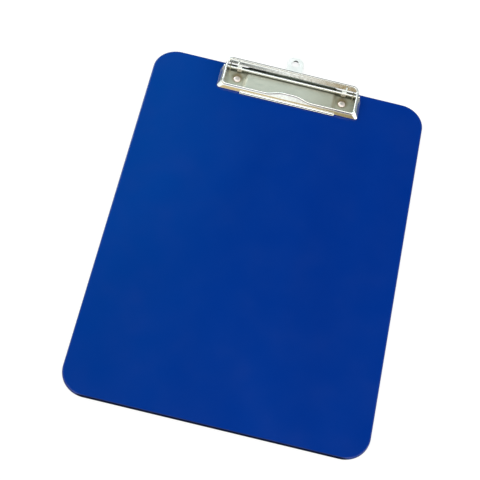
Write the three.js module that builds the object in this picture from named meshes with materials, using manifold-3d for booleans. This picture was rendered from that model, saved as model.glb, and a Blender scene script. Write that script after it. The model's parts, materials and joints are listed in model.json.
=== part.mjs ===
// A4 clipboard: a plastic board with a riveted, low-profile steel clip and a pull-out hanger.
// Millimetres, +Z up. The origin is the centre of the board's flat underside, +Y points to the clip.
import * as THREE from "three";
import { mergeVertices } from "three/addons/utils/BufferGeometryUtils.js";
import Module from "manifold-3d";

const wasm = await Module();
wasm.setup();

// ---------- driving dimensions ----------
const BOARD = { width: 228, length: 320, thickness: 3, corner: 20, edge: 0.9 };
const REAR = BOARD.length / 2; // Y of the board's edge behind the clip
const TOP = BOARD.thickness; // Z of the face that the paper lies on

// Clip sizes are given as depth from the board's rear edge and height above its top face.
const SHEET = 1; // thickness of the jaw's sheet steel
const PIN = { depth: 6.6, height: 4.5, radius: 1.1, halfLength: 57.9, chamfer: 0.3 };
const JAW = { halfWidth: 55.5, rear: -0.65, front: 24.3, corner: 4 };
const RIM = { rearHeight: 9, frontHeight: 4.8 };
const SKIRT = { railHeight: 6.9, earHeight: 2.6, earDepth: 4.8, lipHeight: 0.3, lipDepth: 14 };
const FLARE = { ear: 1.2, earEnd: 1.5, side: 4.4, sideStart: 11, front: 3 };
const LIP = { corner: 1.8, pull: 0.75 }; // its corners are sharper than the rim's, from this share on
const FOOT = { halfWidth: 40, reach: 1.3, thickness: 0.9 };
const TAB = { halfWidth: 19.5, flatHalfWidth: 4, rise: 2.4 };
const FLANGE = { lowerDepth: 2.9, lowerHeight: 5.3, sag: 0.15, trim: 0.1 }; // leans back to the rim

const PLATE = { halfWidth: 55.2, rear: 0.7, front: 23.2, thickness: 0.9, corner: 2 };
const TUNNEL = { halfWidth: 36, ramp: 2, clearance: 1.4 };
const LUG = { inner: 51.7, thickness: 1, halfDepth: 3.2 };
const GATE = { inner: 8.4, outer: 13.5, thickness: 0.8 };

const RIVET = { x: 44.5, depth: 15, shank: 1.6, head: 3, headHeight: 1.2 };
const DOME = { shoulder: 0.92, shoulderHeight: 0.5, crown: 0.6, crownHeight: 0.9 }; // shares of the head
const CLINCH = { radius: 2.4, low: 0.1, bulge: 2.7, bulgeHeight: 0.3 };
const WASHER = { outer: 4.4, inner: 1.9, thickness: 0.5 };
const COUNTERBORE = { radius: 4.8, depth: 1.1 };

const HANGER = { width: 14, thickness: 1, lift: 0.15, hole: 3, reach: 14.5, barWidth: 30 };
const HANGER_BAR = { rear: 1.8, front: 6.8 };

const SPRING = { x: 44.2, wire: 1, coilRadius: 2.3, halfLength: 2.2 };
const SPRING_LEG = { lead: 0.2, floorEnd: 2.9, floorHeight: 1.45, slotEnd: 0.2, slotHeight: 6.9 };

const FIT = 0.3; // gap between pieces that touch or turn in one another
const PAST = 5; // how far a cutting solid reaches past what it cuts

// ---------- fineness of the curves ----------
const ROUND = 24; // sides of a full circle
const SIDES = { pin: 16, coil: 20, wire: 10 };
const CURVE = { board: 10, plate: 4, lug: 10, trim: 6, hanger: 12 };
const STEPS = { front: 36, side: 14, rear: 4, corner: 6 }; // stations round the jaw
const WALL_LEVELS = [0.35, 0.7, 1]; // shares of the way from rim to lip

// ---------- colours ----------
const PLASTIC = { color: 0x043a8c, roughness: 0.22, metalness: 0 };
const NICKEL = { color: 0xc9c9c0, roughness: 0.14, metalness: 1 };
const CHROME = { color: 0xdedfdc, roughness: 0.08, metalness: 1 };
const SATIN = { color: 0xa6aa9e, roughness: 0.34, metalness: 1 };

// ---------- helpers ----------
const y = (depth) => REAR - depth;
const z = (height) => TOP + height;
const mix = (a, b, t) => a + (b - a) * t;
const smooth = (t) => THREE.MathUtils.smoothstep(t, 0, 1);

function bare(geometry) {
  const copy = geometry.clone();
  copy.deleteAttribute("normal");
  copy.deleteAttribute("uv");
  return mergeVertices(copy, 1e-4);
}

function solid(geometry) {
  const merged = bare(geometry);
  const vertProperties = new Float32Array(merged.attributes.position.array);
  const triVerts = new Uint32Array(merged.index.array);
  return new wasm.Manifold(new wasm.Mesh({ numProp: 3, vertProperties, triVerts }));
}

function geometryOf(manifold) {
  const mesh = manifold.getMesh();
  const geometry = new THREE.BufferGeometry();
  geometry.setAttribute("position", new THREE.BufferAttribute(mesh.vertProperties, 3));
  geometry.setIndex(new THREE.BufferAttribute(mesh.triVerts, 1));
  const faceted = geometry.toNonIndexed();
  faceted.computeVertexNormals();
  return faceted;
}

function box(x0, x1, y0, y1, z0, z1) {
  const geometry = new THREE.BoxGeometry(x1 - x0, y1 - y0, z1 - z0);
  return geometry.translate((x0 + x1) / 2, (y0 + y1) / 2, (z0 + z1) / 2);
}

function rodAlongX(radius, x0, x1, atY, atZ, sides = ROUND) {
  const geometry = new THREE.CylinderGeometry(radius, radius, x1 - x0, sides);
  return geometry.rotateZ(Math.PI / 2).translate((x0 + x1) / 2, atY, atZ);
}

function rodAlongZ(radius, z0, z1, atX, atY, sides = ROUND) {
  const geometry = new THREE.CylinderGeometry(radius, radius, z1 - z0, sides);
  return geometry.rotateX(Math.PI / 2).translate(atX, atY, (z0 + z1) / 2);
}

function roundedRectangle(x0, x1, y0, y1, r) {
  const shape = new THREE.Shape();
  shape.absarc(x1 - r, y1 - r, r, 0, Math.PI / 2);
  shape.absarc(x0 + r, y1 - r, r, Math.PI / 2, Math.PI);
  shape.absarc(x0 + r, y0 + r, r, Math.PI, 1.5 * Math.PI);
  shape.absarc(x1 - r, y0 + r, r, 1.5 * Math.PI, 2 * Math.PI);
  return shape;
}

function mesh(name, geometry, finish) {
  const made = new THREE.Mesh(geometry, new THREE.MeshStandardMaterial(finish));
  made.name = name;
  return made;
}

// ---------- board ----------
function board() {
  const inset = BOARD.edge;
  const shape = roundedRectangle(
    -BOARD.width / 2 + inset,
    BOARD.width / 2 - inset,
    -BOARD.length / 2 + inset,
    BOARD.length / 2 - inset,
    BOARD.corner - inset,
  );
  const slab = new THREE.ExtrudeGeometry(shape, {
    depth: BOARD.thickness - 2 * BOARD.edge,
    bevelThickness: BOARD.edge,
    bevelSize: BOARD.edge,
    bevelSegments: 3,
    curveSegments: CURVE.board,
  });
  slab.translate(0, 0, BOARD.edge);
  let body = solid(slab);
  for (const side of [-1, 1]) {
    const x = side * RIVET.x;
    const hole = rodAlongZ(RIVET.shank + FIT, -PAST, TOP + PAST, x, y(RIVET.depth));
    const counterbore = rodAlongZ(COUNTERBORE.radius, -PAST, COUNTERBORE.depth, x, y(RIVET.depth));
    body = body.subtract(solid(hole)).subtract(solid(counterbore));
  }
  return mesh("board", geometryOf(body), PLASTIC);
}

// ---------- base plate ----------
// Strip steel pressed into a shallow tunnel for the hanger, with a lug for the pin at each end.
function basePlate() {
  const t = PLATE.thickness;
  const foot = TUNNEL.halfWidth + TUNNEL.ramp;
  const crest = TUNNEL.clearance;
  const profile = new THREE.Shape([
    new THREE.Vector2(-PLATE.halfWidth, 0),
    new THREE.Vector2(-foot, 0),
    new THREE.Vector2(-TUNNEL.halfWidth, crest),
    new THREE.Vector2(TUNNEL.halfWidth, crest),
    new THREE.Vector2(foot, 0),
    new THREE.Vector2(PLATE.halfWidth, 0),
    new THREE.Vector2(PLATE.halfWidth, t),
    new THREE.Vector2(foot, t),
    new THREE.Vector2(TUNNEL.halfWidth, crest + t),
    new THREE.Vector2(-TUNNEL.halfWidth, crest + t),
    new THREE.Vector2(-foot, t),
    new THREE.Vector2(-PLATE.halfWidth, t),
  ]);
  const strip = new THREE.ExtrudeGeometry(profile, {
    depth: PLATE.front - PLATE.rear,
    bevelEnabled: false,
  });
  strip.rotateX(Math.PI / 2).translate(0, y(PLATE.rear), TOP);
  const outline = roundedRectangle(
    -PLATE.halfWidth,
    PLATE.halfWidth,
    y(PLATE.front),
    y(PLATE.rear),
    PLATE.corner,
  );
  const blank = new THREE.ExtrudeGeometry(outline, {
    depth: 2 * PAST,
    bevelEnabled: false,
    curveSegments: CURVE.plate,
  });
  let body = solid(strip).intersect(solid(blank.translate(0, 0, TOP - PAST)));
  for (const side of [-1, 1]) {
    body = body.add(solid(lug(side))).add(solid(gate(side)));
    const x = side * RIVET.x;
    const hole = rodAlongZ(RIVET.shank + FIT, TOP - PAST, z(PAST), x, y(RIVET.depth));
    body = body.subtract(solid(hole));
  }
  const reach = PLATE.halfWidth + PAST;
  const bore = rodAlongX(PIN.radius + FIT / 2, -reach, reach, y(PIN.depth), z(PIN.height));
  return mesh("base_plate", geometryOf(body.subtract(solid(bore))), SATIN);
}

// Upright ear with a rounded top, bored for the hinge pin.
function lug(side) {
  const shape = new THREE.Shape();
  shape.moveTo(-LUG.halfDepth, 0);
  shape.lineTo(LUG.halfDepth, 0);
  shape.absarc(0, PIN.height, LUG.halfDepth, 0, Math.PI);
  shape.closePath();
  const geometry = new THREE.ExtrudeGeometry(shape, {
    depth: LUG.thickness,
    bevelEnabled: false,
    curveSegments: CURVE.lug,
  });
  geometry.rotateX(Math.PI / 2).rotateZ(Math.PI / 2);
  const x = side > 0 ? LUG.inner : -LUG.inner - LUG.thickness;
  return geometry.translate(x, y(PIN.depth), TOP);
}

// Down-turned stop at the tunnel's mouth, which the hanger's cross bar can't pass.
function gate(side) {
  const x0 = side > 0 ? GATE.inner : -GATE.outer;
  const x1 = side > 0 ? GATE.outer : -GATE.inner;
  const rear = y(PLATE.rear);
  return box(x0, x1, rear - GATE.thickness, rear, TOP, z(TUNNEL.clearance + PLATE.thickness / 2));
}

// ---------- jaw ----------
// One pressing: a rounded rectangular frame whose walls flare down to the board in front, with
// a press flange that leans back behind the pin. The frame's height and flare change on its way
// round, so each station of the loop has a rim point, an outward normal, and its own way to the lip.
function jawStations() {
  const half = JAW.halfWidth - SHEET / 2;
  const front = y(JAW.front) + SHEET / 2;
  const rear = y(JAW.rear) - SHEET / 2;
  const r = JAW.corner;
  const pullX = r + FLARE.side - LIP.corner;
  const pullY = r + FLARE.front - LIP.corner;
  const stations = [];
  const add = (rim, normal, way) => stations.push({ rim, normal, way });
  const frontRun = () => {
    const reach = half - r;
    for (let i = 0; i < STEPS.front; i += 1) {
      const rimX = mix(-reach, reach, i / STEPS.front);
      const share = smooth((Math.abs(rimX) / reach - LIP.pull) / (1 - LIP.pull));
      add([rimX, front], [0, -1], [Math.sign(rimX) * pullX * share, -FLARE.front]);
    }
  };
  const rearRun = () => {
    for (let i = 0; i < STEPS.rear; i += 1) {
      add([mix(half - r, -half + r, i / STEPS.rear), rear], [0, 1], [0, 0]);
    }
  };
  const sideRun = (side, start, end) => {
    for (let i = 0; i < STEPS.side; i += 1) {
      const rimY = mix(start, end, i / STEPS.side);
      const share = smooth((front + 3 * r - rimY) / (2 * r));
      add([side * half, rimY], [side, 0], [side * sideFlare(REAR - rimY), -pullY * share]);
    }
  };
  const turn = (side, atFront, from) => {
    for (let i = 0; i < STEPS.corner; i += 1) {
      const angle = from + (i / STEPS.corner) * (Math.PI / 2);
      const nx = Math.cos(angle);
      const ny = Math.sin(angle);
      const rimY = (atFront ? front + r : rear - r) + r * ny;
      const sharper = LIP.corner - r;
      const way = atFront
        ? [side * pullX + nx * sharper, -pullY + ny * sharper]
        : [sideFlare(REAR - rimY) * nx, 0];
      add([side * (half - r) + r * nx, rimY], [nx, ny], way);
    }
  };
  frontRun();
  turn(1, true, -Math.PI / 2);
  sideRun(1, front + r, rear - r);
  turn(1, false, 0);
  rearRun();
  turn(-1, false, Math.PI / 2);
  sideRun(-1, rear - r, front + r);
  turn(-1, true, Math.PI);
  return stations;
}

function sideFlare(depth) {
  const share = smooth((depth - FLARE.earEnd) / (FLARE.sideStart - FLARE.earEnd));
  return mix(FLARE.ear, FLARE.side, share);
}

// The thumb tab rises out of the rim's front run only.
function tabRise({ rim, normal }) {
  const past = (TAB.halfWidth - Math.abs(rim[0])) / (TAB.halfWidth - TAB.flatHalfWidth);
  return normal[1] === -1 ? TAB.rise * smooth(past) : 0;
}

// Height of the wall's lower edge: a narrow rail at the rear, then the ear, then the lip.
function lowerEdge(depth) {
  const toEar = smooth((depth - JAW.rear) / (SKIRT.earDepth - JAW.rear));
  const toLip = smooth((depth - PIN.depth) / (SKIRT.lipDepth - PIN.depth));
  return mix(mix(SKIRT.railHeight, SKIRT.earHeight, toEar), SKIRT.lipHeight, toLip);
}

// Closed loop of the wall's section at one station, from the rim's inner edge round to it again.
function wallSection(station) {
  const { rim, normal, way } = station;
  const depth = REAR - rim[1];
  const along = (depth - JAW.rear) / (JAW.front - JAW.rear);
  const top = mix(RIM.rearHeight, RIM.frontHeight, along);
  const bottom = lowerEdge(depth);
  const levels = [-tabRise(station) / (top - bottom), ...WALL_LEVELS];
  const point = (level, offset) => [
    rim[0] + way[0] * level + normal[0] * offset,
    rim[1] + way[1] * level + normal[1] * offset,
    z(mix(top, bottom, level)),
  ];
  const outside = levels.map((level) => point(level, SHEET / 2));
  const inside = levels.map((level) => point(level, -SHEET / 2)).reverse();
  return [...outside, ...inside];
}

function loft(sections) {
  const size = sections[0].length;
  const index = [];
  sections.forEach((_, i) => {
    const next = (i + 1) % sections.length;
    for (let j = 0; j < size; j += 1) {
      const k = (j + 1) % size;
      const a = i * size + j;
      const b = next * size + j;
      const c = next * size + k;
      const d = i * size + k;
      index.push(a, c, b, a, d, c);
    }
  });
  const geometry = new THREE.BufferGeometry();
  const positions = new Float32Array(sections.flat(2));
  geometry.setAttribute("position", new THREE.BufferAttribute(positions, 3));
  geometry.setIndex(index);
  return geometry;
}

// Curved strip that leans back from behind the pin up to the rear rim, trimmed to the frame.
function pressFlange() {
  const low = new THREE.Vector2(y(FLANGE.lowerDepth), z(FLANGE.lowerHeight));
  const high = new THREE.Vector2(y(JAW.rear) - SHEET / 2, z(RIM.rearHeight - SHEET / 2));
  const normal = new THREE.Vector2(low.y - high.y, high.x - low.x).normalize();
  const line = (offset) =>
    [0, 0.25, 0.5, 0.75, 1].map((t) => {
      const hollow = offset - FLANGE.sag * 4 * t * (1 - t);
      return low.clone().lerp(high, t).addScaledVector(normal, hollow);
    });
  const profile = new THREE.Shape([...line(-SHEET / 2), ...line(SHEET / 2).reverse()]);
  const strip = new THREE.ExtrudeGeometry(profile, {
    depth: 2 * JAW.halfWidth,
    bevelEnabled: false,
  });
  // The shape's axes are Y and Z, and it is extruded along X.
  const toFrame = new THREE.Matrix4().makeBasis(
    new THREE.Vector3(0, 1, 0),
    new THREE.Vector3(0, 0, 1),
    new THREE.Vector3(1, 0, 0),
  );
  strip.applyMatrix4(toFrame).translate(-JAW.halfWidth, 0, 0);
  const half = JAW.halfWidth - FLANGE.trim;
  const rear = y(JAW.rear) - FLANGE.trim;
  const outline = roundedRectangle(-half, half, y(JAW.front), rear, JAW.corner);
  const trim = new THREE.ExtrudeGeometry(outline, {
    depth: z(RIM.rearHeight + PAST),
    bevelEnabled: false,
    curveSegments: CURVE.trim,
  });
  return solid(strip).intersect(solid(trim));
}

function jaw() {
  let body = solid(loft(jawStations().map(wallSection))).add(pressFlange());
  const lip = y(JAW.front + FLARE.front);
  const foot = box(
    -FOOT.halfWidth,
    FOOT.halfWidth,
    lip - FOOT.reach,
    lip + SHEET / 2,
    z(SKIRT.lipHeight),
    z(SKIRT.lipHeight + FOOT.thickness),
  );
  body = body.add(solid(foot));
  const reach = JAW.halfWidth + FLARE.side + PAST;
  const bore = rodAlongX(PIN.radius + FIT, -reach, reach, y(PIN.depth), z(PIN.height));
  body = body.subtract(solid(bore));
  for (const side of [-1, 1]) {
    const x = side * (SPRING.x + SPRING.halfLength - SPRING.wire / 2);
    const half = SPRING.wire / 2 + FIT;
    const middle = z(SPRING_LEG.slotHeight);
    const front = y(FLANGE.lowerDepth + SHEET);
    const slot = box(x - half, x + half, front, REAR + SHEET, middle - half, middle + half);
    body = body.subtract(solid(slot));
  }
  return mesh("jaw", geometryOf(body), NICKEL);
}

// ---------- hinge pin ----------
function hingePin() {
  const half = PIN.halfLength;
  const profile = [
    new THREE.Vector2(0, -half),
    new THREE.Vector2(PIN.radius - PIN.chamfer, -half),
    new THREE.Vector2(PIN.radius, -half + PIN.chamfer),
    new THREE.Vector2(PIN.radius, half - PIN.chamfer),
    new THREE.Vector2(PIN.radius - PIN.chamfer, half),
    new THREE.Vector2(0, half),
  ];
  const geometry = new THREE.LatheGeometry(profile, SIDES.pin);
  geometry.rotateZ(Math.PI / 2);
  const pin = mesh("hinge_pin", geometryOf(solid(geometry)), CHROME);
  pin.position.set(0, y(PIN.depth), z(PIN.height));
  return pin;
}

// ---------- torsion springs ----------
// A short coil round the pin. One leg lies on the base plate behind the pin, and the other
// passes through a slot in the jaw's rear wall and lifts it, which closes the front lip.
function spring(side) {
  const outer = SPRING.coilRadius + SPRING.wire / 2;
  const inner = SPRING.coilRadius - SPRING.wire / 2;
  const half = SPRING.halfLength;
  const profile = [
    new THREE.Vector2(inner, -half),
    new THREE.Vector2(outer, -half),
    new THREE.Vector2(outer, half),
    new THREE.Vector2(inner, half),
    new THREE.Vector2(inner, -half),
  ];
  const coil = new THREE.LatheGeometry(profile, SIDES.coil);
  coil.rotateZ(Math.PI / 2).translate(side * SPRING.x, y(PIN.depth), z(PIN.height));
  const floorX = side * (SPRING.x - half + SPRING.wire / 2);
  const slotX = side * (SPRING.x + half - SPRING.wire / 2);
  const floorLeg = leg(
    new THREE.Vector3(floorX, y(PIN.depth + SPRING_LEG.lead), z(PIN.height - SPRING.coilRadius)),
    new THREE.Vector3(floorX, y(SPRING_LEG.floorEnd), z(SPRING_LEG.floorHeight)),
  );
  const slotLeg = leg(
    new THREE.Vector3(slotX, y(PIN.depth + SPRING_LEG.lead), z(PIN.height + SPRING.coilRadius)),
    new THREE.Vector3(slotX, y(SPRING_LEG.slotEnd), z(SPRING_LEG.slotHeight)),
  );
  const body = solid(coil).add(solid(floorLeg)).add(solid(slotLeg));
  const name = side > 0 ? "spring_right" : "spring_left";
  return mesh(name, geometryOf(body), CHROME);
}

// Straight round wire between two points.
function leg(from, to) {
  const run = new THREE.Vector3().subVectors(to, from);
  const radius = SPRING.wire / 2;
  const geometry = new THREE.CylinderGeometry(radius, radius, run.length(), SIDES.wire);
  const turned = new THREE.Quaternion().setFromUnitVectors(
    new THREE.Vector3(0, 1, 0),
    run.clone().normalize(),
  );
  geometry.applyQuaternion(turned);
  const middle = new THREE.Vector3().addVectors(from, to).multiplyScalar(0.5);
  return geometry.translate(middle.x, middle.y, middle.z);
}

// ---------- rivets and washers ----------
function rivet(side) {
  const seat = TOP + PLATE.thickness;
  const clinch = COUNTERBORE.depth - WASHER.thickness;
  const profile = [
    new THREE.Vector2(0, CLINCH.low),
    new THREE.Vector2(CLINCH.radius, CLINCH.low),
    new THREE.Vector2(CLINCH.bulge, CLINCH.bulgeHeight),
    new THREE.Vector2(CLINCH.radius, clinch),
    new THREE.Vector2(RIVET.shank, clinch),
    new THREE.Vector2(RIVET.shank, seat),
    new THREE.Vector2(RIVET.head, seat),
    new THREE.Vector2(RIVET.head * DOME.shoulder, seat + RIVET.headHeight * DOME.shoulderHeight),
    new THREE.Vector2(RIVET.head * DOME.crown, seat + RIVET.headHeight * DOME.crownHeight),
    new THREE.Vector2(0, seat + RIVET.headHeight),
  ];
  const geometry = new THREE.LatheGeometry(profile, ROUND).rotateX(Math.PI / 2);
  const name = side > 0 ? "rivet_right" : "rivet_left";
  const made = mesh(name, geometryOf(solid(geometry)), CHROME);
  made.position.set(side * RIVET.x, y(RIVET.depth), 0);
  return made;
}

function washer(side) {
  const seat = COUNTERBORE.depth;
  const profile = [
    new THREE.Vector2(WASHER.inner, seat - WASHER.thickness),
    new THREE.Vector2(WASHER.outer, seat - WASHER.thickness),
    new THREE.Vector2(WASHER.outer, seat),
    new THREE.Vector2(WASHER.inner, seat),
    new THREE.Vector2(WASHER.inner, seat - WASHER.thickness),
  ];
  const geometry = new THREE.LatheGeometry(profile, ROUND).rotateX(Math.PI / 2);
  const name = side > 0 ? "rivet_washer_right" : "rivet_washer_left";
  const made = mesh(name, geometryOf(solid(geometry)), NICKEL);
  made.position.set(side * RIVET.x, y(RIVET.depth), 0);
  return made;
}

// ---------- hanger ----------
// Flat tongue with a hole in its round end, and a cross bar that keeps it in the tunnel.
function hanger() {
  const half = HANGER.width / 2;
  const bar = HANGER.barWidth / 2;
  const centre = REAR + HANGER.reach;
  const shape = new THREE.Shape();
  shape.moveTo(-bar, y(HANGER_BAR.front));
  shape.lineTo(bar, y(HANGER_BAR.front));
  shape.lineTo(bar, y(HANGER_BAR.rear));
  shape.lineTo(half, y(HANGER_BAR.rear));
  shape.absarc(0, centre, half, 0, Math.PI);
  shape.lineTo(-half, y(HANGER_BAR.rear));
  shape.lineTo(-bar, y(HANGER_BAR.rear));
  shape.closePath();
  const hole = new THREE.Path();
  hole.absarc(0, centre, HANGER.hole, 0, 2 * Math.PI, true);
  shape.holes.push(hole);
  const geometry = new THREE.ExtrudeGeometry(shape, {
    depth: HANGER.thickness,
    bevelEnabled: false,
    curveSegments: CURVE.hanger,
  });
  geometry.translate(0, 0, z(HANGER.lift));
  return mesh("hanger_hook", geometryOf(solid(geometry)), CHROME);
}

// ---------- assembly ----------
const clip = new THREE.Group();
clip.add(basePlate(), jaw(), hingePin(), hanger());
for (const side of [-1, 1]) {
  clip.add(spring(side), rivet(side), washer(side));
}

const clipboard = new THREE.Group();
clipboard.add(board(), clip);

export default clipboard;
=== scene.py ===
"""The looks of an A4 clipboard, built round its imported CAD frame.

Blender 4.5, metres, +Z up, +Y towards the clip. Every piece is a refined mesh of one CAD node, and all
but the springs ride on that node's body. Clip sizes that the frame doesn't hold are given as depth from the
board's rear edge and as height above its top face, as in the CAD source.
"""

import json
import math

import bpy
import bmesh
import numpy as np
from mathutils import Matrix, Quaternion, Vector

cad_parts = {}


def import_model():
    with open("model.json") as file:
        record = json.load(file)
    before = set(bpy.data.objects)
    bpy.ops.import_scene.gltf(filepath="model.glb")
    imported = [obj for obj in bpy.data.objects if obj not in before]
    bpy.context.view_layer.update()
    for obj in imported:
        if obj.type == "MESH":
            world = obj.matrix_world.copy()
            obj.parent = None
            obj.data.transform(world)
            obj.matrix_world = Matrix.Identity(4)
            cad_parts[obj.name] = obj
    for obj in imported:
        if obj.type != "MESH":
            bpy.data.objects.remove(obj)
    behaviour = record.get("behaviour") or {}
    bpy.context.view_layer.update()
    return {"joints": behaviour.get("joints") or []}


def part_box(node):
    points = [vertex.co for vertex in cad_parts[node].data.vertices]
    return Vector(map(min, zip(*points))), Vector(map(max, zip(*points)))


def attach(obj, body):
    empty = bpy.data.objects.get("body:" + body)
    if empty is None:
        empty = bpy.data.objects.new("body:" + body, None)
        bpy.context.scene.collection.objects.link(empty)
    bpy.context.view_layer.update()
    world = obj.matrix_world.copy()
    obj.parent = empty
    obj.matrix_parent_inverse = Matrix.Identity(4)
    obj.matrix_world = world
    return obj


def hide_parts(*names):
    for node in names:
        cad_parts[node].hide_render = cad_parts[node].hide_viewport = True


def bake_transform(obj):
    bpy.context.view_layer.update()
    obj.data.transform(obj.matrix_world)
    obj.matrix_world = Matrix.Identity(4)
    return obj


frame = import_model()

MM = 0.001
JOINTS = {joint["name"]: joint for joint in frame["joints"]}

# ---------- sizes taken from the frame ----------
BOARD_LOW, BOARD_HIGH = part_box("board")
REAR = BOARD_HIGH.y
TOP = BOARD_HIGH.z
JAW_LOW, JAW_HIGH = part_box("jaw")
PLATE_LOW, PLATE_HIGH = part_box("base_plate")
HANGER_LOW, HANGER_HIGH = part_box("hanger_hook")
PIN_LOW, PIN_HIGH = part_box("hinge_pin")
AXIS = Vector(JOINTS["jaw_hinge"]["pos_m"])

# ---------- sizes that shape the pressings ----------
BOARD = {"corner": 20 * MM, "edge": 0.9 * MM}
SHEET = 1 * MM
JAW = {"half_width": 55.5 * MM, "rear": -0.65 * MM, "front": 24.3 * MM, "corner": 4 * MM}
RIM = {"rear": 9 * MM, "front": 4.8 * MM}
SKIRT = {"rail": 6.9 * MM, "ear": 2.6 * MM, "ear_depth": 4.8 * MM, "lip": 0.3 * MM, "lip_depth": 14 * MM}
FLARE = {"ear": 1.2 * MM, "ear_end": 1.5 * MM, "side": 4.4 * MM, "side_start": 11 * MM, "front": 3 * MM}
SHOULDER = {"level": 0.45, "share": 0.5}  # the wall's slope changes a little at this level
BEAD = 0.85 * MM  # radius of the rolled edge round the top of the frame
NECK = BEAD - SHEET / 2  # how far the wall's face lies inside the bead's
LIP_CORNER = 1.8 * MM  # the lip's front corners are sharper than the rim's
TAB = {"half_width": 19.5 * MM, "flat": 4 * MM, "rise": 2.4 * MM}
FLANGE = {"depth": 2.9 * MM, "height": 5.3 * MM, "sag": 0.15 * MM}
FOOT = {"half_width": 40 * MM, "thickness": 0.9 * MM}
PLATE = {"thickness": 0.9 * MM, "corner": 2 * MM, "tunnel": 36 * MM, "ramp": 3 * MM, "rise": 1.4 * MM}
LUG = {"x": 52.2 * MM, "half_depth": 3.2 * MM, "bend": 1.2 * MM}
GATE = {"inner": 8.4 * MM, "outer": 13.5 * MM}
RIVET = {"shank": 1.6 * MM, "counterbore": 4.8 * MM, "recess": 1.1 * MM}
HANGER = {"hole": 3 * MM, "tongue": 14 * MM, "bar_rear": 1.8 * MM, "edge": 0.22 * MM}
SPRING = {"wire": 0.94 * MM, "coil": 2.3 * MM, "turns": 3.5, "floor_x": 42.5 * MM, "slot_x": 45.9 * MM}
SPRING_LEG = {"floor": (2.9 * MM, 1.45 * MM), "slot": (0.2 * MM, 6.9 * MM)}
FIT = 0.3 * MM
NEARLY = 0.96  # a strip's round corner or edge stops this short, so that no two rows meet in a point

SMOOTH_ANGLE = math.radians(38)


def y_at(depth):
    return REAR - depth


def z_at(height):
    return TOP + height


def mix(a, b, t):
    return a + (b - a) * t


def smooth(t):
    t = min(1.0, max(0.0, t))
    return t * t * (3 - 2 * t)


# ---------- mesh helpers ----------
def make_object(name, vertices, faces):
    mesh = bpy.data.meshes.new(name)
    mesh.from_pydata([tuple(v) for v in vertices], [], faces)
    made = bpy.data.objects.new(name, mesh)
    bpy.context.scene.collection.objects.link(made)
    tidy(made)
    return made


def tidy(piece):
    """Merges doubled vertices and turns every face outwards."""
    work = bmesh.new()
    work.from_mesh(piece.data)
    bmesh.ops.remove_doubles(work, verts=work.verts, dist=1e-7)
    bmesh.ops.dissolve_degenerate(work, dist=1e-8, edges=work.edges)
    bmesh.ops.recalc_face_normals(work, faces=work.faces)
    work.to_mesh(piece.data)
    work.free()


def shade(piece, angle=SMOOTH_ANGLE):
    piece.data.shade_smooth()
    piece.data.set_sharp_from_angle(angle=angle)


def boolean(piece, other, operation):
    """Joins other to piece, or cuts it away, and removes it."""
    step = piece.modifiers.new("boolean", "BOOLEAN")
    step.operation = operation
    step.solver = "EXACT"
    step.object = other
    graph = bpy.context.evaluated_depsgraph_get()
    result = bpy.data.meshes.new_from_object(piece.evaluated_get(graph))
    piece.modifiers.clear()
    old = piece.data
    piece.data = result
    bpy.data.meshes.remove(old)
    used = other.data
    bpy.data.objects.remove(other)
    bpy.data.meshes.remove(used)
    result.name = piece.name


def ring_faces(a, b, closed=True):
    """Quads between two equal rows of vertex numbers."""
    count = len(a)
    last = count if closed else count - 1
    return [(a[i], a[(i + 1) % count], b[(i + 1) % count], b[i]) for i in range(last)]


def sheet_metal(name, grid, thickness, closed=False, rim_steps=8):
    """A sheet of that thickness round a grid of mid-surface points, with fully rounded edges.

    The thickness is one number, or one for each column of the grid.
    """
    points = np.array(grid, float)
    rows, columns = points.shape[:2]
    if closed:
        along = np.roll(points, -1, 0) - np.roll(points, 1, 0)
    else:
        along = np.gradient(points, axis=0)
    across = np.gradient(points, axis=1)
    normal = np.cross(along, across)
    normal /= np.linalg.norm(normal, axis=2)[..., None]
    half = np.broadcast_to(np.array(thickness, float) / 2, (columns,))
    vertices = []
    number = np.zeros((2, rows, columns), int)
    for layer, sign in enumerate((1, -1)):
        for i in range(rows):
            for j in range(columns):
                number[layer, i, j] = len(vertices)
                vertices.append(points[i, j] + normal[i, j] * half[j] * sign)
    faces = []
    for i in range(rows if closed else rows - 1):
        k = (i + 1) % rows
        for j in range(columns - 1):
            for layer in number:
                faces.append((layer[i, j], layer[k, j], layer[k, j + 1], layer[i, j + 1]))
    if closed:
        borders = [[(i, 0) for i in range(rows)], [(i, columns - 1) for i in range(rows)]]
    else:
        borders = [
            [(i, 0) for i in range(rows - 1)]
            + [(rows - 1, j) for j in range(columns - 1)]
            + [(i, columns - 1) for i in range(rows - 1, 0, -1)]
            + [(0, j) for j in range(columns - 1, 0, -1)]
        ]
    centre = points.reshape(-1, 3).mean(0)
    for border in borders:
        line = np.array([points[i, j] for i, j in border])
        tangent = np.roll(line, -1, 0) - np.roll(line, 1, 0)
        outward = []
        for (i, j), direction in zip(border, tangent):
            side = np.cross(normal[i, j], direction)
            side /= np.linalg.norm(side)
            inner = points[i, 1 if j == 0 else columns - 2 if j == columns - 1 else j]
            inner = inner if closed or j in (0, columns - 1) else points[1 if i == 0 else rows - 2, j]
            towards = points[i, j] - inner if closed else points[i, j] - centre
            outward.append(side if side @ towards > 0 else -side)
        previous = [number[0, i, j] for i, j in border]
        for step in range(1, rim_steps):
            turn = math.pi * step / rim_steps
            ring = []
            for (i, j), side in zip(border, outward):
                ring.append(len(vertices))
                offset = normal[i, j] * math.cos(turn) + side * math.sin(turn)
                vertices.append(points[i, j] + offset * half[j])
            faces += ring_faces(previous, ring)
            previous = ring
        faces += ring_faces(previous, [number[1, i, j] for i, j in border])
    return make_object(name, vertices, [tuple(int(v) for v in face) for face in faces])


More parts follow.
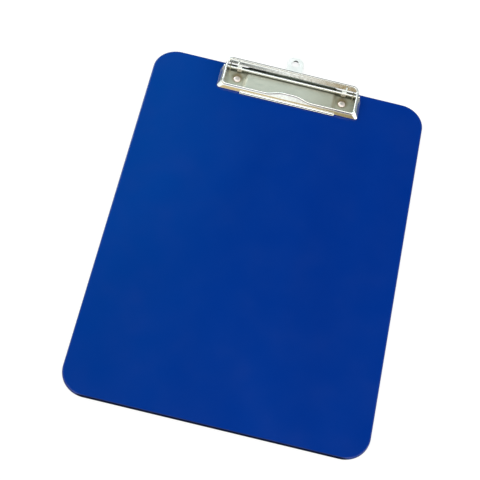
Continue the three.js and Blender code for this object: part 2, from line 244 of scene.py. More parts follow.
def lathe(name, profile, centre, steps=64, along="z"):
    """Turns a profile of (radius, height) points round an axis through centre."""
    vertices, faces, rings = [], [], []
    for radius, height in profile:
        if radius < 1e-9:
            rings.append([len(vertices)] * steps)
            vertices.append((0, 0, height))
            continue
        rings.append(list(range(len(vertices), len(vertices) + steps)))
        for i in range(steps):
            angle = 2 * math.pi * i / steps
            vertices.append((radius * math.cos(angle), radius * math.sin(angle), height))
    for a, b in zip(rings, rings[1:]):
        for quad in ring_faces(a, b):
            face = tuple(dict.fromkeys(quad))
            if len(face) > 2:
                faces.append(face)
    if profile[0][0] > 1e-9 and profile[0] != profile[-1]:
        faces.append(tuple(rings[0]))
    if profile[-1][0] > 1e-9 and profile[0] != profile[-1]:
        faces.append(tuple(rings[-1]))
    if along == "x":
        vertices = [(h, x, y) for x, y, h in vertices]
    return make_object(name, [Vector(v) + Vector(centre) for v in vertices], faces)


def arc(centre, radius, start, end, steps):
    """Points of an arc in a plane, angles in degrees, both ends included."""
    turns = [math.radians(mix(start, end, i / steps)) for i in range(steps + 1)]
    return [(centre[0] + radius * math.cos(t), centre[1] + radius * math.sin(t)) for t in turns]


def rod(radius, start, end, steps=48):
    """A plain closed cylinder between two points, used to cut holes."""
    run = Vector(end) - Vector(start)
    made = lathe("cutter", [(radius, 0), (radius, run.length)], (0, 0, 0), steps)
    made.data.transform(run.to_track_quat("Z", "Y").to_matrix().to_4x4())
    made.data.transform(Matrix.Translation(Vector(start)))
    return made


def tube(name, path, radius, sides=20):
    """A round wire along a path of points, with chamfered ends."""
    end_run, end_radius = radius * 0.3, radius * 0.72
    points = [Vector(p) for p in path]
    tangents = []
    for i, point in enumerate(points):
        before = points[max(0, i - 1)]
        after = points[min(len(points) - 1, i + 1)]
        tangents.append((after - before).normalized())
    normal = tangents[0].orthogonal().normalized()
    vertices, rings = [], []

    def ring(centre, tangent, across, size):
        binormal = tangent.cross(across)
        first = len(vertices)
        for k in range(sides):
            angle = 2 * math.pi * k / sides
            vertices.append(centre + (across * math.cos(angle) + binormal * math.sin(angle)) * size)
        rings.append(list(range(first, first + sides)))

    for i, (point, tangent) in enumerate(zip(points, tangents)):
        if i:
            normal = tangents[i - 1].rotation_difference(tangent) @ normal
        if i == 0:
            ring(point - tangent * end_run, tangent, normal, end_radius)
        ring(point, tangent, normal, radius)
        if i == len(points) - 1:
            ring(point + tangent * end_run, tangent, normal, end_radius)
    faces = [face for a, b in zip(rings, rings[1:]) for face in ring_faces(a, b)]
    faces += [tuple(rings[0]), tuple(rings[-1])]
    return make_object(name, vertices, faces)


# ---------- camera ----------
VIEW = {"azimuth": -0.29, "elevation": 59.38, "roll": 13.8, "distance": 1.035, "lens": 100.65}
AIM = Vector((-11.08 * MM, -4.03 * MM, TOP))


def camera():
    azimuth = math.radians(VIEW["azimuth"])
    elevation = math.radians(VIEW["elevation"])
    back = Vector(
        (
            math.sin(azimuth) * math.cos(elevation),
            -math.cos(azimuth) * math.cos(elevation),
            math.sin(elevation),
        )
    )
    lens = bpy.data.cameras.new("camera")
    lens.lens = VIEW["lens"]
    made = bpy.data.objects.new("camera", lens)
    bpy.context.scene.collection.objects.link(made)
    made.location = AIM + back * VIEW["distance"]
    roll = Quaternion((0, 0, 1), math.radians(VIEW["roll"]))
    made.rotation_mode = "QUATERNION"
    made.rotation_quaternion = (-back).to_track_quat("-Z", "Y") @ roll
    bpy.context.scene.camera = made


# ---------- light ----------
def card(name, centre, aim, size, colour, strength):
    """A soft rectangular light that faces aim."""
    data = bpy.data.lights.new(name, "AREA")
    data.shape = "RECTANGLE"
    data.size, data.size_y = size
    data.color = colour
    data.energy = strength * size[0] * size[1] * math.pi
    made = bpy.data.objects.new(name, data)
    bpy.context.scene.collection.objects.link(made)
    made.location = centre
    made.rotation_euler = (Vector(aim) - Vector(centre)).to_track_quat("-Z", "Y").to_euler()
    made.visible_camera = False


def studio():
    clip = (0, REAR - 12 * MM, TOP)
    card("softbox_left", (-0.45, 0.5, 0.4), clip, (0.35, 0.35), (0.93, 0.98, 1), 3)
    card("softbox_right", (1.2, -0.1, 0.7), clip, (0.8, 0.8), (1, 0.95, 0.86), 1.5)
    card("softbox_over", (0, -0.35, 1.9), clip, (1.6, 0.9), (1, 1, 0.98), 1.6)


def world():
    """Pale studio room as a map of directions, with dim and warm panels round the clip's reflections.

    across, along and up are a direction's parts in X, Y and Z.
    """
    made = bpy.data.worlds.new("studio")
    bpy.context.scene.world = made
    made.use_nodes = True
    tree = made.node_tree
    background = tree.nodes["Background"]
    direction = tree.nodes.new("ShaderNodeTexCoord").outputs["Generated"]
    split = tree.nodes.new("ShaderNodeSeparateXYZ")
    tree.links.new(direction, split.inputs[0])
    across, along, up = split.outputs
    mirror = math.radians(VIEW["elevation"])
    mirrored = tree.nodes.new("ShaderNodeVectorMath")
    mirrored.operation = "DOT_PRODUCT"
    mirrored.inputs[1].default_value = (0, math.cos(mirror), math.sin(mirror))
    tree.links.new(direction, mirrored.inputs[0])

    def ranged(value, start, end):
        node = tree.nodes.new("ShaderNodeMapRange")
        node.interpolation_type = "SMOOTHSTEP"
        node.inputs["From Min"].default_value = start
        node.inputs["From Max"].default_value = end
        tree.links.new(value, node.inputs["Value"])
        return node.outputs["Result"]

    def product(*factors):
        result = factors[0]
        for factor in factors[1:]:
            node = tree.nodes.new("ShaderNodeMath")
            node.operation = "MULTIPLY"
            tree.links.new(result, node.inputs[0])
            tree.links.new(factor, node.inputs[1])
            result = node.outputs[0]
        return result

    def painted(room, share, colour):
        node = tree.nodes.new("ShaderNodeMix")
        node.data_type = "RGBA"
        tree.links.new(share, node.inputs["Factor"])
        for value, socket in ((room, node.inputs["A"]), (colour, node.inputs["B"])):
            if isinstance(value, tuple):
                socket.default_value = (*value, 1)
            else:
                tree.links.new(value, socket)
        return node.outputs["Result"]

    front = ranged(along, 0.15, -0.35)
    room = painted((0.94, 1.0, 1.0), front, (1.1, 1.15, 1.15))
    # low in front: a warm table edge
    room = painted(room, product(front, ranged(up, 0.32, 0.28), ranged(up, 0.05, 0.12)), (0.66, 0.52, 0.28))
    # right of the clip: a warm brown panel, sharp and low, soft and high
    right = product(front, ranged(across, 0.4, 0.2))
    low_right = product(right, ranged(across, 0.04, 0.043), ranged(up, 0.52, 0.46))
    room = painted(room, low_right, (0.3, 0.24, 0.12))
    high_right = product(right, ranged(across, 0.026, 0.037), ranged(up, 0.38, 0.44), ranged(up, 0.82, 0.76))
    room = painted(room, high_right, (0.36, 0.27, 0.13))
    # left of the clip: a dark panel
    left = product(front, ranged(across, -0.003, -0.011), ranged(across, -0.2, -0.1))
    room = painted(room, product(left, ranged(up, 0.5, 0.56), ranged(up, 0.82, 0.76)), (0.08, 0.1, 0.1))
    # low behind: a grey-green skirting, which outlines the bright edges
    behind = product(ranged(along, 0.2, 0.45), ranged(up, 0.5, 0.35))
    room = painted(room, behind, (0.25, 0.31, 0.28))
    # where the board mirrors the room: nearly dark, with a cool sheen towards its left
    sheen = product(ranged(across, 0.02, -0.09), ranged(up, 1.0, 0.78))
    cap_edge, cap_core = math.cos(math.radians(26)), math.cos(math.radians(17))
    cap = ranged(mirrored.outputs["Value"], cap_edge, cap_core)
    room = painted(room, cap, painted((0.0, 0.0, 0.02), sheen, (0.0, 0.42, 0.38)))
    # the camera itself sees plain white behind the object
    seen = tree.nodes.new("ShaderNodeLightPath").outputs["Is Camera Ray"]
    room = painted(room, seen, (1, 1, 1))
    tree.links.new(room, background.inputs["Color"])
    background.inputs["Strength"].default_value = 1.0


def floor():
    size = 6.0
    made = make_object(
        "floor",
        [(-size, -size, 0), (size, -size, 0), (size, size, 0), (-size, size, 0)],
        [(0, 1, 2, 3)],
    )
    made.location.z = -0.02 * MM
    material, nodes = new_material("floor_white")
    shader = nodes["shader"]
    shader.inputs["Base Color"].default_value = (0.3, 0.3, 0.3, 1)
    shader.inputs["Roughness"].default_value = 0.8
    shader.inputs["Specular IOR Level"].default_value = 0.2
    shader.inputs["Emission Color"].default_value = (1, 1, 1, 1)
    path = nodes["tree"].nodes.new("ShaderNodeLightPath")
    glow = nodes["tree"].nodes.new("ShaderNodeMath")
    glow.operation = "MULTIPLY"
    glow.inputs[1].default_value = 0.75
    nodes["tree"].links.new(path.outputs["Is Camera Ray"], glow.inputs[0])
    nodes["tree"].links.new(glow.outputs[0], shader.inputs["Emission Strength"])
    made.data.materials.append(material)


# ---------- materials ----------
def new_material(name):
    material = bpy.data.materials.new(name)
    material.use_nodes = True
    tree = material.node_tree
    return material, {"tree": tree, "shader": tree.nodes["Principled BSDF"]}


def place(nodes):
    """Place on the piece, in its own metres."""
    if "place" not in nodes:
        nodes["place"] = nodes["tree"].nodes.new("ShaderNodeTexCoord").outputs["Object"]
    return nodes["place"]


def place_axes(nodes):
    split = nodes["tree"].nodes.new("ShaderNodeSeparateXYZ")
    nodes["tree"].links.new(place(nodes), split.inputs[0])
    return split.outputs


def distance(nodes, value, point):
    away = nodes["tree"].nodes.new("ShaderNodeVectorMath")
    away.operation = "DISTANCE"
    away.inputs[1].default_value = point
    nodes["tree"].links.new(value, away.inputs[0])
    return away.outputs["Value"]


def texture(nodes, scale, detail=3.0, stretch=(1, 1, 1), distortion=0.0):
    """Noise in the object's own metres, stretched along an axis by a small factor there."""
    tree = nodes["tree"]
    mapping = tree.nodes.new("ShaderNodeMapping")
    mapping.inputs["Scale"].default_value = stretch
    tree.links.new(place(nodes), mapping.inputs["Vector"])
    noise = tree.nodes.new("ShaderNodeTexNoise")
    noise.inputs["Scale"].default_value = scale
    noise.inputs["Detail"].default_value = detail
    noise.inputs["Distortion"].default_value = distortion
    tree.links.new(mapping.outputs["Vector"], noise.inputs["Vector"])
    return noise.outputs["Fac"]


def spread(nodes, value, low, high, start=0.3, end=0.7):
    """Maps a texture's start..end to low..high."""
    ranged = nodes["tree"].nodes.new("ShaderNodeMapRange")
    ranged.inputs["From Min"].default_value = start
    ranged.inputs["From Max"].default_value = end
    ranged.inputs["To Min"].default_value = low
    ranged.inputs["To Max"].default_value = high
    nodes["tree"].links.new(value, ranged.inputs["Value"])
    return ranged.outputs["Result"]


def tint(nodes, value, dark, light):
    """Base colour that runs between two colours with a texture."""
    ramp = nodes["tree"].nodes.new("ShaderNodeValToRGB")
    ramp.color_ramp.elements[0].position = 0.3
    ramp.color_ramp.elements[0].color = (*dark, 1)
    ramp.color_ramp.elements[1].position = 0.7
    ramp.color_ramp.elements[1].color = (*light, 1)
    nodes["tree"].links.new(value, ramp.inputs["Fac"])
    nodes["tree"].links.new(ramp.outputs["Color"], nodes["shader"].inputs["Base Color"])
    return ramp.outputs["Color"]


def multiplied(nodes, first, second):
    mixed = nodes["tree"].nodes.new("ShaderNodeMix")
    mixed.data_type = "RGBA"
    mixed.blend_type = "MULTIPLY"
    mixed.inputs["Factor"].default_value = 1.0
    nodes["tree"].links.new(first, mixed.inputs["A"])
    nodes["tree"].links.new(second, mixed.inputs["B"])
    return mixed.outputs["Result"]


def relief(nodes, layers):
    """Stacks bump layers of (texture, height in metres)."""
    tree = nodes["tree"]
    previous = None
    for value, height in layers:
        bump = tree.nodes.new("ShaderNodeBump")
        bump.inputs["Strength"].default_value = 1.0
        bump.inputs["Distance"].default_value = height
        tree.links.new(value, bump.inputs["Height"])
        if previous:
            tree.links.new(previous, bump.inputs["Normal"])
        previous = bump.outputs["Normal"]
    tree.links.new(previous, nodes["shader"].inputs["Normal"])


def board_plastic():
    material, nodes = new_material("board_plastic")
    shader = nodes["shader"]
    shader.inputs["IOR"].default_value = 1.5
    flow = texture(nodes, 9, 2, (1, 0.35, 1), 0.6)
    colour = tint(nodes, flow, (0.0002, 0.0255, 0.228), (0.0006, 0.031, 0.256))
    handling = texture(nodes, 34, 6)
    roughness = spread(nodes, handling, 0.14, 0.22)
    nodes["tree"].links.new(roughness, shader.inputs["Roughness"])
    # the edge that the board stands on has less gloss, and painted shade darkens its colour
    y = place_axes(nodes)["Y"]
    edge = BOARD_LOW.y + 0.5 * MM
    gloss = spread(nodes, y, 0.02, 0.5, edge, edge + 0.4 * MM)
    nodes["tree"].links.new(gloss, shader.inputs["Specular IOR Level"])
    painted_darkening = spread(nodes, y, 0.15, 1, edge, edge + 0.7 * MM)
    nodes["tree"].links.new(multiplied(nodes, colour, painted_darkening), shader.inputs["Base Color"])
    peel = texture(nodes, 420, 2)
    wave = texture(nodes, 22, 1)
    scuffs = texture(nodes, 60, 8, (1, 14, 1))
    relief(nodes, [(wave, 0.02 * MM), (peel, 0.0012 * MM), (scuffs, 0.0016 * MM)])
    return material


def nickel(name, colour, roughness, wear, wave, grain, shade_painter=None):
    """Plated metal: smudges vary its roughness, soft waves and fine scratches vary its face; the function
    given last, where given, adds painted shade to its base colour.
    """
    material, nodes = new_material(name)
    shader = nodes["shader"]
    shader.inputs["Metallic"].default_value = 1.0
    dark = tuple(c * 0.96 for c in colour)
    smudge = texture(nodes, 130, 5, (1, 1, 1), 0.4)
    base = tint(nodes, smudge, dark, colour)
    if shade_painter:
        shade_painter(nodes, base)
    spots = texture(nodes, 420, 6)
    nodes["tree"].links.new(spread(nodes, spots, *roughness), shader.inputs["Roughness"])
    soft = texture(nodes, 75, 1)
    fine = texture(nodes, 900, 4, grain)
    relief(nodes, [(soft, wave), (fine, wear)])
    return material


def painted_plate_shade(nodes, colour):
    """Painted shade on the base plate: behind and in front of the pin, on the tunnel's ramps and round the
    rivets; the plate is also a little darker towards its right end.
    """
    tree = nodes["tree"]
    axes = place_axes(nodes)
    x, y = axes["X"], axes["Y"]
    side = tree.nodes.new("ShaderNodeMath")
    side.operation = "ABSOLUTE"
    tree.links.new(x, side.inputs[0])
    from_middle = side.outputs[0]
    folded = tree.nodes.new("ShaderNodeCombineXYZ")
    tree.links.new(from_middle, folded.inputs["X"])
    tree.links.new(y, folded.inputs["Y"])
    rivet_at = rivet_centre("right")
    behind_rivet = (rivet_at.x, rivet_at.y + 1.5 * MM, 0)
    from_rivet = distance(nodes, folded.outputs[0], behind_rivet)
    pin = AXIS.y
    bend = PLATE["tunnel"]
    unshaded = (1, 1, 1)
    # value, where the change starts and ends, and the colours before and after it
    shade_bands = [
        # painted shade in the gap behind the pin
        (y, pin + 1.2 * MM, pin + 2.8 * MM, unshaded, (0.15, 0.16, 0.16)),
        # painted shadow on the plate just in front of the pin
        (y, pin - 1.9 * MM, pin - 0.7 * MM, unshaded, (0.3, 0.3, 0.26)),
        # a little darker to the right of x = 12 mm, fully from 32 mm
        (x, 12 * MM, 32 * MM, unshaded, (0.86, 0.84, 0.8)),
        # painted shade on the tunnel's ramps
        (from_middle, bend - 0.5 * MM, bend + 1.2 * MM, unshaded, (0.7, 0.68, 0.62)),
        # painted light past the ramps, which takes back part of that shade
        (from_middle, bend + 3 * MM, bend + 5 * MM, unshaded, (1.25, 1.27, 1.3)),
        # brown painted shade round each rivet, centred just behind it
        (from_rivet, 3 * MM, 6 * MM, (0.6, 0.5, 0.38), unshaded),
    ]
    for value, start, end, before, after in shade_bands:
        shade_band = tree.nodes.new("ShaderNodeMix")
        shade_band.data_type = "RGBA"
        shade_band.inputs["A"].default_value = (*before, 1)
        shade_band.inputs["B"].default_value = (*after, 1)
        tree.links.new(spread(nodes, value, 0, 1, start, end), shade_band.inputs["Factor"])
        colour = multiplied(nodes, colour, shade_band.outputs["Result"])
    # the painted shade behind the pin is lifted again towards the strip's rear edge, except at its left end
    shade_end = tree.nodes.new("ShaderNodeMath")
    shade_end.operation = "MULTIPLY"
    tree.links.new(spread(nodes, y, 0, 1, pin + 4 * MM, pin + 4.5 * MM), shade_end.inputs[0])
    tree.links.new(spread(nodes, x, 0, 1, -24 * MM, -18 * MM), shade_end.inputs[1])
    lift = spread(nodes, shade_end.outputs[0], 1, 6, 0, 1)
    tree.links.new(multiplied(nodes, colour, lift), nodes["shader"].inputs["Base Color"])


def painted_hole_shadow(nodes, colour):
    """Painted shadow: the colour turns dark in a crescent on the hole's outer edge."""
    centre_y = HANGER_HIGH.y - HANGER["tongue"] / 2
    shadow_centre = (0, centre_y + 1.6 * MM, (HANGER_LOW.z + HANGER_HIGH.z) / 2)
    reach = 2.1 * MM
    painted_darkening = spread(nodes, distance(nodes, place(nodes), shadow_centre), 0.12, 1, reach, reach + 0.25 * MM)
    nodes["tree"].links.new(multiplied(nodes, colour, painted_darkening), nodes["shader"].inputs["Base Color"])


def painted_rim_shade(nodes, colour):
    """Painted shade: darkens the colour along the back of the rear rim."""
    y = place_axes(nodes)["Y"]
    rim_darkening = spread(nodes, y, 1, 0.35, y_at(0.65 * MM), y_at(0.15 * MM))
    nodes["tree"].links.new(multiplied(nodes, colour, rim_darkening), nodes["shader"].inputs["Base Color"])


def materials():
    along_x = (0.04, 1, 1)
    along_y = (1, 0.05, 1)
    even = (1, 1, 1)
    return {
        "board_plastic": board_plastic(),
        "jaw_nickel": nickel(
            "jaw_nickel", (0.92, 0.92, 0.88), (0.06, 0.15), 0.0012 * MM, 0.02 * MM, along_x, painted_rim_shade
        ),
        "plate_steel": nickel(
            "plate_steel", (0.7, 0.7, 0.61), (0.5, 0.64), 0.004 * MM, 0.02 * MM, along_x, painted_plate_shade
        ),
        "bright_wire": nickel(
            "bright_wire", (0.95, 0.96, 0.93), (0.08, 0.17), 0.001 * MM, 0.01 * MM, along_x
        ),
        "spring_wire": nickel(
            "spring_wire", (0.86, 0.85, 0.8), (0.1, 0.2), 0.001 * MM, 0.005 * MM, even
        ),
        "rivet_nickel": nickel(
            "rivet_nickel", (0.88, 0.76, 0.7), (0.4, 0.52), 0.002 * MM, 0.02 * MM, even
        ),
        "hanger_nickel": nickel(
            "hanger_nickel", (1, 1, 0.99), (0.64, 0.74), 0.002 * MM, 0.02 * MM, along_y, painted_hole_shadow
        ),
    }


def finish_piece(piece, body, node, slot, finishes):
    """Gives a piece its finish and, where one is named, its body, in place of the CAD node that it refines.
    """
    piece.data.materials.clear()
    piece.data.materials.append(finishes[slot])
    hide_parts(node)
    if body:
        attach(piece, body)


# ---------- board ----------
def board():
    """A moulded slab with round corners and rounded edges, and a counterbored hole for each rivet."""
    half_x = BOARD_HIGH.x
    half_y = BOARD_HIGH.y
    edge = BOARD["edge"]
    flat = 0.5 * MM
    profile = [(edge + flat, 0)]
    profile += [(edge - edge * math.sin(a), edge - edge * math.cos(a)) for a in quarter(8)]
    profile += [(edge - edge * math.cos(a), TOP - edge + edge * math.sin(a)) for a in quarter(8)]
    profile.append((edge + flat, TOP))
    vertices, rings = [], []
    for inset, height in profile:
        outline = rounded_outline(half_x - inset, half_y - inset, BOARD["corner"] - inset, 24)
        rings.append(list(range(len(vertices), len(vertices) + len(outline))))
        vertices += [(x, y, height) for x, y in outline]
    faces = [face for a, b in zip(rings, rings[1:]) for face in ring_faces(a, b)]
    faces += [tuple(rings[0]), tuple(rings[-1])]
    made = make_object("board_moulding", vertices, faces)
    for side in ("left", "right"):
        centre = rivet_centre(side)
        down = Vector((centre.x, centre.y, -MM))
        hole = rod(RIVET["shank"] + FIT, down, (centre.x, centre.y, TOP + MM))
        recess = rod(RIVET["counterbore"], down, (centre.x, centre.y, RIVET["recess"]), 72)
        boolean(made, hole, "DIFFERENCE")
        boolean(made, recess, "DIFFERENCE")
    shade(made)
    return made


def quarter(steps):
    return [math.pi / 2 * i / steps for i in range(steps + 1)]


def rounded_outline(half_x, half_y, radius, steps):
    outline = []
    for k, (sx, sy) in enumerate(((1, 1), (-1, 1), (-1, -1), (1, -1))):
        centre = (sx * (half_x - radius), sy * (half_y - radius))
        outline += arc(centre, radius, 90 * k, 90 * (k + 1), steps)
    return outline


def rivet_centre(side):
    low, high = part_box("rivet_" + side)
    return (low + high) / 2


# ---------- base plate ----------
def plate_height(x):
    """Height of the strip's mid-surface: a tunnel with soft ramps for the hanger."""
    ramp = smooth((PLATE["tunnel"] + PLATE["ramp"] - abs(x)) / PLATE["ramp"])
    return TOP + PLATE["thickness"] / 2 + PLATE["rise"] * ramp


def base_plate():
    half = PLATE["thickness"] / 2
    reach = PLATE_HIGH.x - half
    flat_end = reach - PLATE["corner"]
    inner = [mix(-flat_end, flat_end, i / 120) for i in range(121)]
    corner = [flat_end + PLATE["corner"] * math.sin(a) for a in quarter(8)[1:]]
    columns = [-x for x in reversed(corner)] + inner + corner
    low, high = PLATE_LOW.y + half, PLATE_HIGH.y - half
    grid = []
    for x in columns:
        past = max(0.0, abs(x) - flat_end) / PLATE["corner"]
        inset = PLATE["corner"] * (1 - math.sqrt(max(0.0, 1 - past * past))) * NEARLY
        steps = 12
        row = [mix(low + inset, high - inset, j / steps) for j in range(steps + 1)]
        grid.append([(x, y, plate_height(x)) for y in row])
    made = sheet_metal("base_plate_pressing", grid, PLATE["thickness"])
    for side in (-1, 1):
        boolean(made, lug(side), "UNION")
        boolean(made, gate(side), "UNION")
    bore = AXIS.copy()
    bore.x = PLATE_HIGH.x + MM
    boolean(made, rod((PIN_HIGH.z - PIN_LOW.z) / 2 + FIT / 2, (-bore.x, bore.y, bore.z), bore), "DIFFERENCE")
    for side in ("left", "right"):
        centre = rivet_centre(side)
        hole = rod(RIVET["shank"] + FIT, (centre.x, centre.y, TOP - MM), (centre.x, centre.y, z_at(3 * MM)))
        boolean(made, hole, "DIFFERENCE")
    shade(made)
    return made


def lug(side):
    """Ear bent up out of the strip, with a round top, that holds the hinge pin."""
    half = PLATE["thickness"] / 2
    bend = LUG["bend"]
    proud = 0.02 * MM  # the lug's foot doesn't lie exactly in the strip's faces
    base = TOP + half
    width = LUG["half_depth"] - half
    grid = []
    steps = 24
    for i in range(steps + 1):
        turn = math.pi * (i / steps)
        depth = -LUG["half_depth"] * math.cos(turn) * 0.985
        crown = AXIS.z + math.sqrt(max(0.0, width * width - (depth * 0.86) ** 2))
        y = AXIS.y + depth * (width / LUG["half_depth"])
        row = [(side * (LUG["x"] - bend * 1.8), y, base + proud)]
        for px, pz in arc((LUG["x"] - bend, base + bend), bend, -90, 0, 6):
            row.append((side * px, y, pz + proud))
        foot = base + bend
        row += [(side * LUG["x"], y, mix(foot, crown, k / 8)) for k in range(1, 9)]
        grid.append(row)
    return sheet_metal("lug", grid, PLATE["thickness"])


def gate(side):
    """Down-turned stop at the tunnel's mouth that keeps the hanger's cross bar in."""
    half = 0.4 * MM
    bend = 0.7 * MM
    lap = 1.6 * MM
    gap = 0.05 * MM
    crest = TOP + PLATE["thickness"] / 2 + PLATE["rise"]
    rear = PLATE_HIGH.y - half
    grid = []
    for i in range(9):
        x = side * mix(GATE["inner"] + half, GATE["outer"] - half, i / 8)
        row = [(x, rear - lap, crest)]
        row += [(x, py, pz) for py, pz in arc((rear - bend, crest - bend), bend, 90, 0, 6)]
        row.append((x, rear, TOP + half + gap))
        grid.append(row)
    return sheet_metal("gate", grid, 2 * half)


# ---------- jaw ----------
def side_flare(depth):
    share = smooth((depth - FLARE["ear_end"]) / (FLARE["side_start"] - FLARE["ear_end"]))
    return mix(FLARE["ear"], FLARE["side"], share) + NECK


def jaw_stations():
    """Places round the frame: a rim point, the way out of the frame, and the way from rim to lip."""
    half = JAW["half_width"] - BEAD
    front = y_at(JAW["front"]) + BEAD
    rear = y_at(JAW["rear"]) - BEAD
    radius = JAW["corner"]
    front_flare = FLARE["front"] + NECK
    pull_x = radius + FLARE["side"] + NECK - LIP_CORNER
    pull_y = radius + front_flare - LIP_CORNER
    stations = []

    def front_run(steps):
        reach = half - radius
        for i in range(steps):
            x = mix(-reach, reach, i / steps)
            share = smooth((abs(x) - 0.75 * reach) / (0.25 * reach))
            stations.append((x, front, 0, -1, (math.copysign(pull_x * share, x), -front_flare)))

    def rear_run(steps):
        for i in range(steps):
            stations.append((mix(half - radius, -half + radius, i / steps), rear, 0, 1, (0, NECK)))

    def side_run(side, start, end, steps):
        for i in range(steps):
            y = mix(start, end, i / steps)
            share = smooth((front + 3 * radius - y) / (2 * radius))
            way = (side * side_flare(REAR - y), -pull_y * share)
            stations.append((side * half, y, side, 0, way))

    def turn(side, at_front, start, steps=14):
        cy = front + radius if at_front else rear - radius
        for i in range(steps):
            angle = math.radians(start + 90 * i / steps)
            nx, ny = math.cos(angle), math.sin(angle)
            y = cy + radius * ny
            if at_front:
                lip = LIP_CORNER - radius
                way = (side * pull_x + nx * lip, -pull_y + ny * lip)
            else:
                way = (side_flare(REAR - y) * nx, NECK * ny)
            stations.append((side * (half - radius) + radius * nx, y, nx, ny, way))

    front_run(120)
    turn(1, True, -90)
    side_run(1, front + radius, rear - radius, 40)
    turn(1, False, 0)
    rear_run(24)
    turn(-1, False, 90)
    side_run(-1, rear - radius, front + radius, 40)
    turn(-1, True, 180)
    return stations


def bead_columns():
    """Drop below the bead's centre and thickness for each column of the rolled edge."""
    turns = [math.radians(54 * i / 5) for i in range(6)]
    return [(BEAD * math.sin(turn), 2 * max(SHEET / 2, BEAD * math.cos(turn))) for turn in turns]


BEAD_COLUMNS = bead_columns()
WALL_STEPS = 12
WALL_THICKNESS = [thickness for below, thickness in BEAD_COLUMNS] + [SHEET] * WALL_STEPS


def lower_edge(depth):
    to_ear = smooth((depth - JAW["rear"]) / (SKIRT["ear_depth"] - JAW["rear"]))
    to_lip = smooth((depth - (REAR - AXIS.y)) / (SKIRT["lip_depth"] - (REAR - AXIS.y)))
    return mix(mix(SKIRT["rail"], SKIRT["ear"], to_ear), SKIRT["lip"], to_lip)


def tab_rise(x, ny):
    if ny > -0.99:
        return 0.0
    return TAB["rise"] * smooth((TAB["half_width"] - abs(x)) / (TAB["half_width"] - TAB["flat"]))


def shoulder(level):
    """Share of the flare reached at a level: a little more at first, so that the wall has a soft fold."""
    fold, share = SHOULDER["level"], SHOULDER["share"]
    blend = smooth((level - fold + 0.08) / 0.16)
    return mix(level * share / fold, share + (level - fold) * (1 - share) / (1 - fold), blend)


def wall_row(station):
    """Mid-surface points from the centre of the rolled edge down to the lip."""
    x, y, nx, ny, way = station
    depth = REAR - y
    along = (depth - JAW["rear"]) / (JAW["front"] - JAW["rear"])
    rim = mix(RIM["rear"], RIM["front"], along)
    bottom = lower_edge(depth)
    drop = rim - bottom
    start = (BEAD - tab_rise(x, ny)) / drop
    last = 1 - SHEET / 2 / drop
    levels = [start + below / drop for below, thickness in BEAD_COLUMNS]
    neck = levels[-1]
    levels += [mix(neck, last, i / WALL_STEPS) for i in range(1, WALL_STEPS + 1)]
    row = []
    for level in levels:
        reach = shoulder(level)
        row.append((x + way[0] * reach, y + way[1] * reach, z_at(mix(rim, bottom, level))))
    return row


def jaw_flange():
    """Slightly hollow strip that leans back from behind the pin up to the rear rim, where fingers press."""
    half = SHEET / 2
    low = Vector((y_at(FLANGE["depth"]), z_at(FLANGE["height"])))
    high = Vector((y_at(JAW["rear"]) - BEAD, z_at(RIM["rear"]) - BEAD))
    run = high - low
    normal = Vector((-run.y, run.x)).normalized()
    straight = JAW["half_width"] - BEAD - JAW["corner"]
    reach = JAW["half_width"] - BEAD - half
    columns = 96
    steps = 14
    grid = []
    for i in range(columns + 1):
        x = mix(-reach, reach, i / columns)
        past = max(0.0, abs(x) - straight) / JAW["corner"]
        back = JAW["corner"] * (1 - math.sqrt(1 - past * past))
        last = min(NEARLY, (run.x - back) / run.x)
        row = []
        for j in range(steps + 1):
            t = mix(0.1, last, j / steps)
            point = low + run * t - normal * (FLANGE["sag"] * 4 * t * (1 - t))
            row.append((x, point.x, point.y))
        grid.append(row)
    return sheet_metal("flange", grid, SHEET)


def jaw_foot():
    """Narrow foot turned forwards under the front wall, which grips the paper."""
    half = FOOT["thickness"] / 2
    reach = FOOT["half_width"] - half
    lip = y_at(JAW["front"] + FLARE["front"]) + SHEET / 2
    level = JAW_LOW.z + half
    start = Vector((lip + 0.55 * MM, level + 0.9 * MM))
    bend = Vector((lip + 0.1 * MM, level))
    end = Vector((JAW_LOW.y + half, level))
    grid = []
    for i in range(81):
        x = mix(-reach, reach, i / 80)
        row = []
        for j in range(11):
            t = j / 10
            point = start * (1 - t) ** 2 + bend * 2 * t * (1 - t) + end * t * t
            row.append((x, point.x, point.y))
        grid.append(row)
    return sheet_metal("foot", grid, FOOT["thickness"])


def jaw():
    grid = [wall_row(station) for station in jaw_stations()]
    made = sheet_metal("jaw_pressing", grid, WALL_THICKNESS, closed=True)
    boolean(made, jaw_flange(), "UNION")
    boolean(made, jaw_foot(), "UNION")
    reach = JAW_HIGH.x + MM
    radius = (PIN_HIGH.z - PIN_LOW.z) / 2 + FIT
    boolean(made, rod(radius, (-reach, AXIS.y, AXIS.z), (reach, AXIS.y, AXIS.z)), "DIFFERENCE")
    for side in (-1, 1):
        x = side * SPRING["slot_x"]
        z = z_at(SPRING_LEG["slot"][1])
        slot = rod(SPRING["wire"] / 2 + FIT, (x, y_at(3.6 * MM), z), (x, y_at(-1 * MM), z))
        boolean(made, slot, "DIFFERENCE")
    shade(made)
    return made


# ---------- pin, springs, rivets, washers ----------
def hinge_pin():
    radius = (PIN_HIGH.z - PIN_LOW.z) / 2
    half = PIN_HIGH.x
    chamfer = 0.3 * MM
    cap = arc((radius - chamfer, half - chamfer), chamfer, 90, 0, 6)
    profile = [(0, half), *cap]
    profile += [(radius, mix(half - chamfer, -half + chamfer, i / 60)) for i in range(1, 60)]
    profile += [(r, -h) for r, h in reversed(cap)]
    profile.append((0, -half))
    made = lathe("hinge_pin_rod", profile, AXIS, 48, "x")
    shade(made)
    return made


